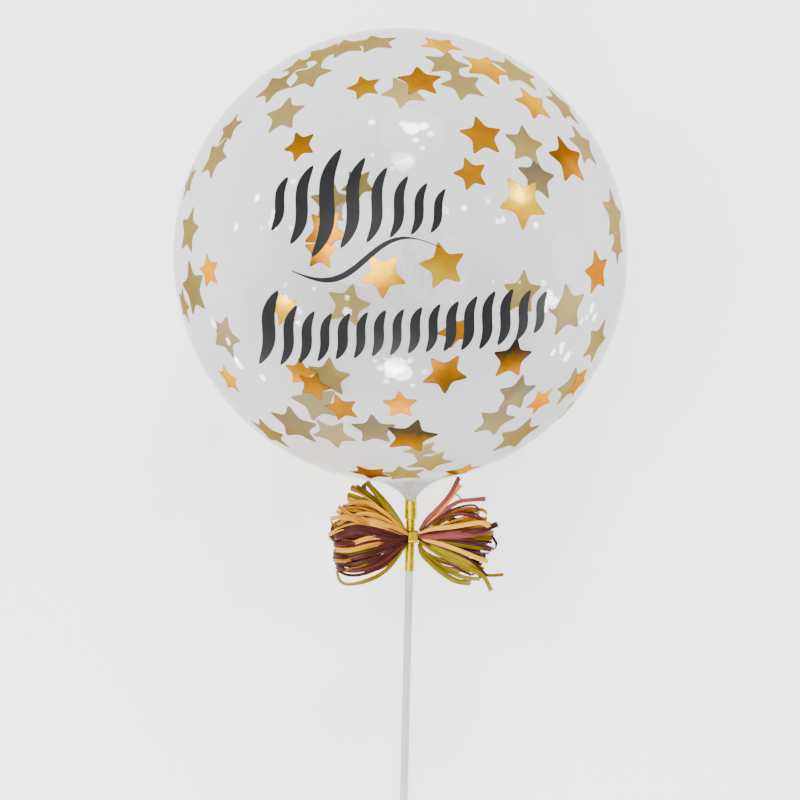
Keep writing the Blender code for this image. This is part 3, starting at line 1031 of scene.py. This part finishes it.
def waist_line(middle_x, lean, grow):
    """Return a ring round the waist of the bow, in the plane across it."""
    half_depth = waist_depth / 2 + grow
    half_height = waist_height / 2 + grow
    power = 0.62  # below 1, so that the ring is squarer than an ellipse
    line = []
    for step in range(tie_steps):
        angle = step / tie_steps * math.tau
        cosine = math.cos(angle)
        sine = math.sin(angle)
        y = math.copysign(abs(cosine) ** power, cosine) * half_depth
        z = math.copysign(abs(sine) ** power, sine) * half_height
        line.append(Vector((middle_x + lean * z, waist_middle + y, tie_middle.z + z)))
    return line


def stick_line(height, grow):
    """Return a ring round the stick behind the bow, a little askew."""
    radius = stick_radius + 0.0011 + grow
    line = []
    for step in range(tie_steps):
        angle = step / tie_steps * math.tau
        tilt = 0.0005 * math.sin(angle)
        place = (radius * math.cos(angle), radius * math.sin(angle), tie_middle.z + height + tilt)
        line.append(Vector(place))
    return line


def make_tie():
    """Make the bright ribbon: turns side by side round the waist, and turns round the stick behind."""
    bm = bmesh.new()
    uv = bm.loops.layers.uv.new("thread")
    across = Vector((1.0, 0.0, 0.0))
    # Turns round the waist: place along it, lean, how far outside the others, width
    waist_turns = (
        (-0.0034, 0.05, 0.00000, 0.0026),
        (-0.0016, -0.04, 0.00016, 0.0027),
        (0.0004, 0.03, 0.00004, 0.0028),
        (0.0021, 0.06, 0.00018, 0.0025),
        (0.0036, -0.02, 0.00002, 0.0022),
    )
    for shift, lean, grow, width in waist_turns:
        line = waist_line(tie_middle.x + shift, lean, grow)
        add_band(bm, uv, line, across, width, bulge=0.00016)
    upright = Vector((0.0, 0.0, 1.0))
    for height, grow in ((-0.0019, 0.0), (0.0001, 0.00014), (0.0020, 0.00003)):
        add_band(bm, uv, stick_line(height, grow), upright, width=0.0024, bulge=0.00012)
    gold = ribbon_material(
        "bright_gold_ribbon",
        edge_on=(1.0, 0.70, 0.05),
        dark=(0.20, 0.11, 0.0003),
        light=(0.44, 0.28, 0.0003),
        roughness=0.42,
    )
    piece = finish_mesh("tie_turns", bm, [gold])
    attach(piece, "root")
    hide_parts("bow_tie")


def smooth_line(points, steps):
    """Return evenly spaced points on a smooth curve through the given ones."""
    padded = [points[0] * 2 - points[1]] + list(points) + [points[-1] * 2 - points[-2]]
    fine_steps = 12
    fine = []
    for before, start, end, after in zip(padded, padded[1:], padded[2:], padded[3:]):
        square = before * 2 - start * 5 + end * 4 - after
        cube = start * 3 - before - end * 3 + after
        for step in range(fine_steps):
            t = step / fine_steps
            fine.append((start * 2 + (end - before) * t + square * t**2 + cube * t**3) / 2)
    fine.append(points[-1])
    lengths = [0.0]
    for first, second in zip(fine, fine[1:]):
        lengths.append(lengths[-1] + (second - first).length)
    even = []
    place = 0
    for step in range(steps + 1):
        goal = lengths[-1] * step / steps
        while place < len(fine) - 2 and lengths[place + 1] < goal:
            place += 1
        span = max(lengths[place + 1] - lengths[place], 1e-9)
        even.append(fine[place].lerp(fine[place + 1], (goal - lengths[place]) / span))
    return even


def opened(kind, share):
    """Return how far a strip has opened from its pinch. A loop is pinched at both ends."""
    if kind == loop:
        return min(1.0, min(share, 1.0 - share) / 0.16) ** 0.8
    return min(1.0, share / 0.30) ** 0.8


def add_strip(meshes, colour, tone, line, across, width, kind):
    """Add one strip of raffia along a line, folded and rippled lengthwise, frayed where it is cut."""
    bm, fibre, strip = meshes[colour]
    fold = dice.uniform(-0.22, 0.22)
    twist = dice.uniform(-0.5, 0.5)
    ripple = dice.uniform(0.10, 0.22)
    seed = dice.uniform(0.0, 100.0)
    last = len(line) - 1
    rings = []
    reaches = [0.0]
    for place in range(last + 1):
        ahead = (line[min(place + 1, last)] - line[max(place - 1, 0)]).normalized()
        side = (across[place] - ahead * across[place].dot(ahead)).normalized()
        out = side.cross(ahead)
        share = place / last
        open_share = opened(kind, share)
        turn = twist * open_share * math.sin(math.pi * share * 0.9)
        turned = side * math.cos(turn) + out * math.sin(turn)
        out = out * math.cos(turn) - side * math.sin(turn)
        wide = width * (pinched_width + (1.0 - pinched_width) * open_share)
        wide *= 1.0 + 0.10 * noise.noise(Vector((share * 5.0, seed, 0.0)))
        over = []
        under = []
        for lane in range(strip_lanes):
            t = lane / (strip_lanes - 1) * 2 - 1
            bend = fold * (abs(t) - 0.5) * wide * (1.6 - open_share)
            wave = noise.noise(Vector((t * 1.9, share * 3.2, seed))) * ripple * wide
            middle = line[place] + turned * (t * wide / 2) + out * (bend + wave)
            if kind == cut and place == last:
                fray = noise.noise(Vector((t * 4.0, seed, 5.0))) + 0.4
                middle += ahead * (fray * fray_length)
            thin = strip_thickness / 2 * (1.0 - 0.6 * t * t)
            over.append(bm.verts.new(middle + out * thin))
            under.append(bm.verts.new(middle - out * thin))
        rings.append(over + under[::-1])
        if place:
            reaches.append(reaches[-1] + (line[place] - line[place - 1]).length)
    far_lane = strip_lanes * 2 - 1
    for place in range(last):
        faces = join_rings(bm, rings[place:place + 2])
        for corner, at, along in band_corners(faces, place, place + 1):
            lane = min(at, far_lane - at)
            corner[fibre].uv = (lane / (strip_lanes - 1) * width, reaches[along])
            corner[strip].uv = (tone, along / last)
    for ring in (rings[0], rings[-1]):
        for lane in range(strip_lanes - 1):
            below = far_lane - lane
            face = bm.faces.new((ring[lane], ring[lane + 1], ring[below - 1], ring[below]))
            for corner in face.loops:
                corner[fibre].uv = (0.0, 0.0)
                corner[strip].uv = (tone, 0.0)


def flat_across(line):
    """Return for each point of a flat line the direction square to it, seen from the front."""
    directions = []
    for place in range(len(line)):
        before = line[max(place - 1, 0)]
        after = line[min(place + 1, len(line) - 1)]
        ahead = after - before
        directions.append(Vector((-ahead.z, 0.0, ahead.x)).normalized())
    return directions


def tilted(side, tilt):
    """Return the ways forward and across of a loop that leans over to its side."""
    ahead = picture_back * math.cos(tilt) + side * math.sin(tilt)
    return ahead, side * math.cos(tilt) - picture_back * math.sin(tilt)


def add_seen_strip(meshes, look, kind, width, order, points):
    """Add a strip that follows a line in the photo."""
    colour, tone = look
    tone += dice.uniform(0.0, 0.06)
    steps = 26
    flat = smooth_line([in_bow(*point) for point in points], steps)
    sides = flat_across(flat)
    lane = waist_depth * (0.5 - 0.62 * order)
    width_in_metres = width * 0.001
    line = []
    if kind == cut:
        bulge = front_bulge * (1.0 - 0.9 * order)
        for place, point in enumerate(flat):
            forward = lane + bulge * math.sin(math.pi * 0.62 * place / steps)
            line.append(Vector((point.x, waist_middle - forward, point.z)))
        add_strip(meshes, colour, tone, line, sides, width_in_metres, cut)
        return
    across = []
    bulge = (0.0030 + 0.0035 * (1.0 - order)) * 2.3 * (1.0 - 0.5 * order)
    sag = dice.uniform(-0.0035, 0.0035)
    side = math.copysign(1.0, points[-1][0] - tie_in_crop[0])
    above = math.copysign(1.0, tie_in_crop[1] - points[-1][1])
    tilt = math.radians(dice.uniform(15.0, 50.0)) * side * above
    for place in range(-steps, steps + 1):
        quarter = math.pi / 2 * (1.0 - abs(place) / steps)
        reach = math.sin(quarter)
        low = min(int(reach * steps), steps - 1)
        point = flat[low].lerp(flat[low + 1], reach * steps - low)
        forward = lane * math.cos(quarter) + bulge * math.sin(2 * quarter)
        level = forward * math.sin(tilt * reach**2)
        if place > 0:
            forward = -forward * 0.75
            point = point + picture_up * (sag * math.sin(math.pi * reach))
        ahead, aside = tilted(sides[low], tilt * reach**2)
        line.append(Vector((point.x, waist_middle, point.z)) + ahead * forward - sides[low] * level)
        across.append(aside)
    add_strip(meshes, colour, tone, line, across, width_in_metres, loop)


def filling_colour(angle):
    """Return the colour that the bow mostly has at an angle."""
    wander = angle + dice.uniform(-9.0, 9.0)
    for above, colour in filling_colours:
        if wander > above - 6:
            return colour
    return "olive"


def add_filling(meshes, side, angle):
    """Add a strip behind the ones that can be told apart, fanned out like them."""
    colour = filling_colour(angle)
    looped = dice.random() < filling_looped
    reach = bow_reach * dice.uniform(0.72, 0.93)
    width = dice.uniform(0.0016, 0.0050)
    lane = dice.uniform(-0.0030, 0.0030)
    bulge = dice.uniform(0.003, 0.0125)
    start = tie_width / 2 - 0.001
    row = math.sin(math.radians(angle)) * waist_height * 0.40
    reach_x = reach * math.cos(math.radians(angle)) - start
    reach_z = reach * math.sin(math.radians(angle)) - row
    spread_more = dice.uniform(0.25, 0.60)

    def place_at(share):
        risen = 1.12 * share**2 / (share + 0.12) * (1 + spread_more * (1 - share))
        x = tie_middle.x + side * (start + reach_x * share)
        return Vector((x, 0.0, tie_middle.z + row + reach_z * risen))

    steps = 20
    flat = [place_at(step / steps) for step in range(steps + 1)]
    sides = flat_across(flat)
    line = []
    across = []
    if not looped:
        for place, point in enumerate(flat):
            share = place / steps
            depth = lane + math.copysign(bulge, lane) * 0.8 * math.sin(math.pi * 0.6 * share)
            line.append(Vector((point.x, waist_middle + depth, point.z)))
        add_strip(meshes, colour, dice.random() * 0.75, line, sides, width, cut)
        return
    lane = abs(lane) + 0.0006
    sag = dice.uniform(-0.004, 0.004)
    tilt = math.radians(dice.uniform(-60.0, 60.0))
    for place in range(-steps, steps + 1):
        quarter = math.pi / 2 * (1.0 - abs(place) / steps)
        share = math.sin(quarter)
        point = place_at(share)
        depth = lane * math.cos(quarter) + bulge * math.sin(2 * quarter)
        if place > 0:
            depth = -depth
            point.z += sag * math.sin(math.pi * share)
        ahead, aside = tilted(sides[int(share * steps)], tilt * share)
        line.append(Vector((point.x, waist_middle, point.z)) + ahead * depth)
        across.append(aside)
    add_strip(meshes, colour, dice.random() * 0.75, line, across, width, loop)


def add_hair(meshes, side):
    """Add a single loose fibre."""
    colour = dice.choice(("tan", "olive", "wine", "tan"))
    bm, fibre, strip = meshes[colour]
    angle = math.radians(dice.uniform(-42, 48))
    reach = bow_reach * dice.uniform(0.80, 1.02)
    curl = dice.uniform(-0.10, 0.10)
    depth = dice.uniform(-0.012, 0.006)
    radius = dice.uniform(0.00016, 0.00028)
    tone = dice.random()
    steps = 16
    rings = []
    for step in range(steps + 1):
        share = step / steps
        here = angle * (1.25 - 0.3 * share) + curl * math.sin(5.0 * share)
        out = Vector((side * math.cos(here), 0.0, math.sin(here)))
        point = tie_middle + out * (tie_width / 2 + (reach - tie_width / 2) * share)
        point.y = waist_middle + depth * math.sin(math.pi * 0.7 * share)
        ring = []
        thin = radius * (1.0 - 0.7 * share)
        square = Vector((-out.z, 0.0, out.x))
        for corner in range(hair_sides):
            turn = corner / hair_sides * math.tau
            nudge = square * math.cos(turn) - picture_back * math.sin(turn)
            ring.append(bm.verts.new(point + nudge * thin))
        rings.append(ring)
    join_rings(bm, rings)
    bm.faces.new(rings[0])
    bm.faces.new(rings[-1])
    for ring in rings:
        for vertex in ring:
            for corner in vertex.link_loops:
                corner[fibre].uv = (0.0, vertex.co.x)
                corner[strip].uv = (tone, 0.5)


def make_raffia():
    """Make the bow: one piece for each colour of raffia."""
    # The dark, middle and light colours span raffia from shade to light, so they are partly painted shade
    # and painted light
    looks = {
        "tan": {
            "gloss": (1.0, 0.62, 0.2),
            "dark": (0.10, 0.034, 0.006),
            "middle": (0.38, 0.150, 0.006),
            "light": (0.64, 0.31, 0.022),
            "roughness": 0.52,
        },
        "wine": {
            "gloss": (1.0, 0.5, 0.45),
            "dark": (0.008, 0.0015, 0.0015),
            "middle": (0.042, 0.0065, 0.0062),
            "light": (0.165, 0.032, 0.029),
            "roughness": 0.42,
        },
        "olive": {
            "gloss": (1.0, 0.8, 0.2),
            "dark": (0.030, 0.019, 0.0004),
            "middle": (0.096, 0.062, 0.0004),
            "light": (0.20, 0.144, 0.003),
            "roughness": 0.38,
        },
    }
    meshes = {}
    for colour in looks:
        bm = bmesh.new()
        fibre = bm.loops.layers.uv.new("fibre")
        strip = bm.loops.layers.uv.new("strip")
        meshes[colour] = (bm, fibre, strip)
    for strips in (left_strips, right_strips):
        for look, kind, width, order, *points in strips:
            add_seen_strip(meshes, look, kind, width, order, points)
    for side in (-1, 1):
        for count in range(filling_count):
            low, high = filling_angles[side]
            add_filling(meshes, side, low + (high - low) * (count + 0.5) / filling_count)
        for count in range(hair_count // 2):
            add_hair(meshes, side)
    for colour, (bm, fibre, strip) in meshes.items():
        material = raffia_material("raffia_" + colour, **looks[colour])
        piece = finish_mesh("bow_" + colour, bm, [material])
        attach(piece, "root")
        nodes = [name for name in frame["nodes"] if name.startswith("raffia_" + colour)]
        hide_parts(*nodes)


def make_camera():
    """Look at the balloon as the photo does, down on its front."""
    camera = bpy.data.cameras.new("camera")
    camera.sensor_width = sensor_width
    camera.lens = picture_focus / picture_side * sensor_width
    camera.clip_end = 50.0
    obj = bpy.data.objects.new("camera", camera)
    turn = Matrix((picture_right, picture_up, picture_back)).transposed().to_4x4()
    obj.matrix_world = laid @ Matrix.Translation(eye) @ turn
    bpy.context.scene.collection.objects.link(obj)
    bpy.context.scene.camera = obj


def add_lamp(name, direction, distance, size, power, colour, towards=None):
    """Add a round lamp that shines from a direction at a place, which is the balloon if not given."""
    light = bpy.data.lights.new(name, "AREA")
    light.shape = "DISK"
    light.size = size
    light.energy = power
    light.color = colour
    obj = bpy.data.objects.new(name, light)
    aim = Vector(direction).normalized()
    obj.location = (towards or balloon_place) + aim * distance
    obj.rotation_euler = aim.to_track_quat("Z", "Y").to_euler()
    bpy.context.scene.collection.objects.link(obj)
    return obj


def add_glint(name, across, down, size, strength):
    """Add a small lamp where the front of the film mirrors it at a place in the picture."""
    normal = on_film(across, down, front)
    point = balloon_centre + normal * balloon_radius
    to_eye = (eye - point).normalized()
    mirrored = normal * (2.0 * normal.dot(to_eye)) - to_eye
    direction = laid.to_3x3() @ mirrored
    distance = glint_distance
    spread = math.pi
    if direction.z < 0.0:
        distance = low_glint_distance
        spread = low_glint_spread
        size *= (balloon_radius / 2 + distance) / (balloon_radius / 2 + glint_distance)
    half = spread / 2
    spread_share = math.sin(half) ** 2 - (half - math.sin(spread) / 2) / math.tan(half)
    power = strength * math.pi**2 * (size / 2) ** 2 * spread_share
    lamp = add_lamp(name, direction, distance, size, power, (1.0, 1.0, 1.0), laid @ point)
    lamp.data.spread = spread


def make_stage():
    """Add the pale floor, the soft light all round and the lamps."""
    bm = bmesh.new()
    bmesh.ops.create_grid(bm, x_segments=1, y_segments=1, size=floor_size)
    mesh = bpy.data.meshes.new("floor")
    bm.to_mesh(mesh)
    bm.free()
    floor = bpy.data.objects.new("floor", mesh)
    floor.location.z = -floor_drop
    material, tree, shader = new_material("floor")
    set_values(shader, Base_Color=(0.92, 0.92, 0.92, 1.0), Roughness=0.9)
    set_values(shader, Emission_Color=(1.0, 1.0, 1.0, 1.0), Emission_Strength=0.7)
    mesh.materials.append(material)
    bpy.context.scene.collection.objects.link(floor)

    world = bpy.data.worlds.new("soft_light")
    world.use_nodes = True
    background = world.node_tree.nodes["Background"]
    set_values(background, Color=(0.97, 0.98, 1.0, 1.0), Strength=1.2)
    bpy.context.scene.world = world

    add_lamp(
        "key",
        direction=(-0.35, -0.25, 1.0),
        distance=3.0,
        size=2.2,
        power=95.0,
        colour=(1.0, 0.99, 0.97),
    )
    for number, glint in enumerate(glints):
        add_glint("glint_%02d" % number, *glint)
    for number, (across, down, size, strength) in enumerate(soft_glints):
        for step in range(soft_steps):
            here = size * (1.0 - step / soft_steps)
            add_glint("soft_glint_%d_%d" % (number, step), across, down, here, strength / soft_steps)


make_film()
make_gathers()
make_stars()
make_strokes()
make_neck_ribbon()
make_tie()
make_raffia()
stick = frame["nodes"]["stick"]
stick.data.materials.clear()
stick.data.materials.append(plastic_material())
make_camera()
make_stage()
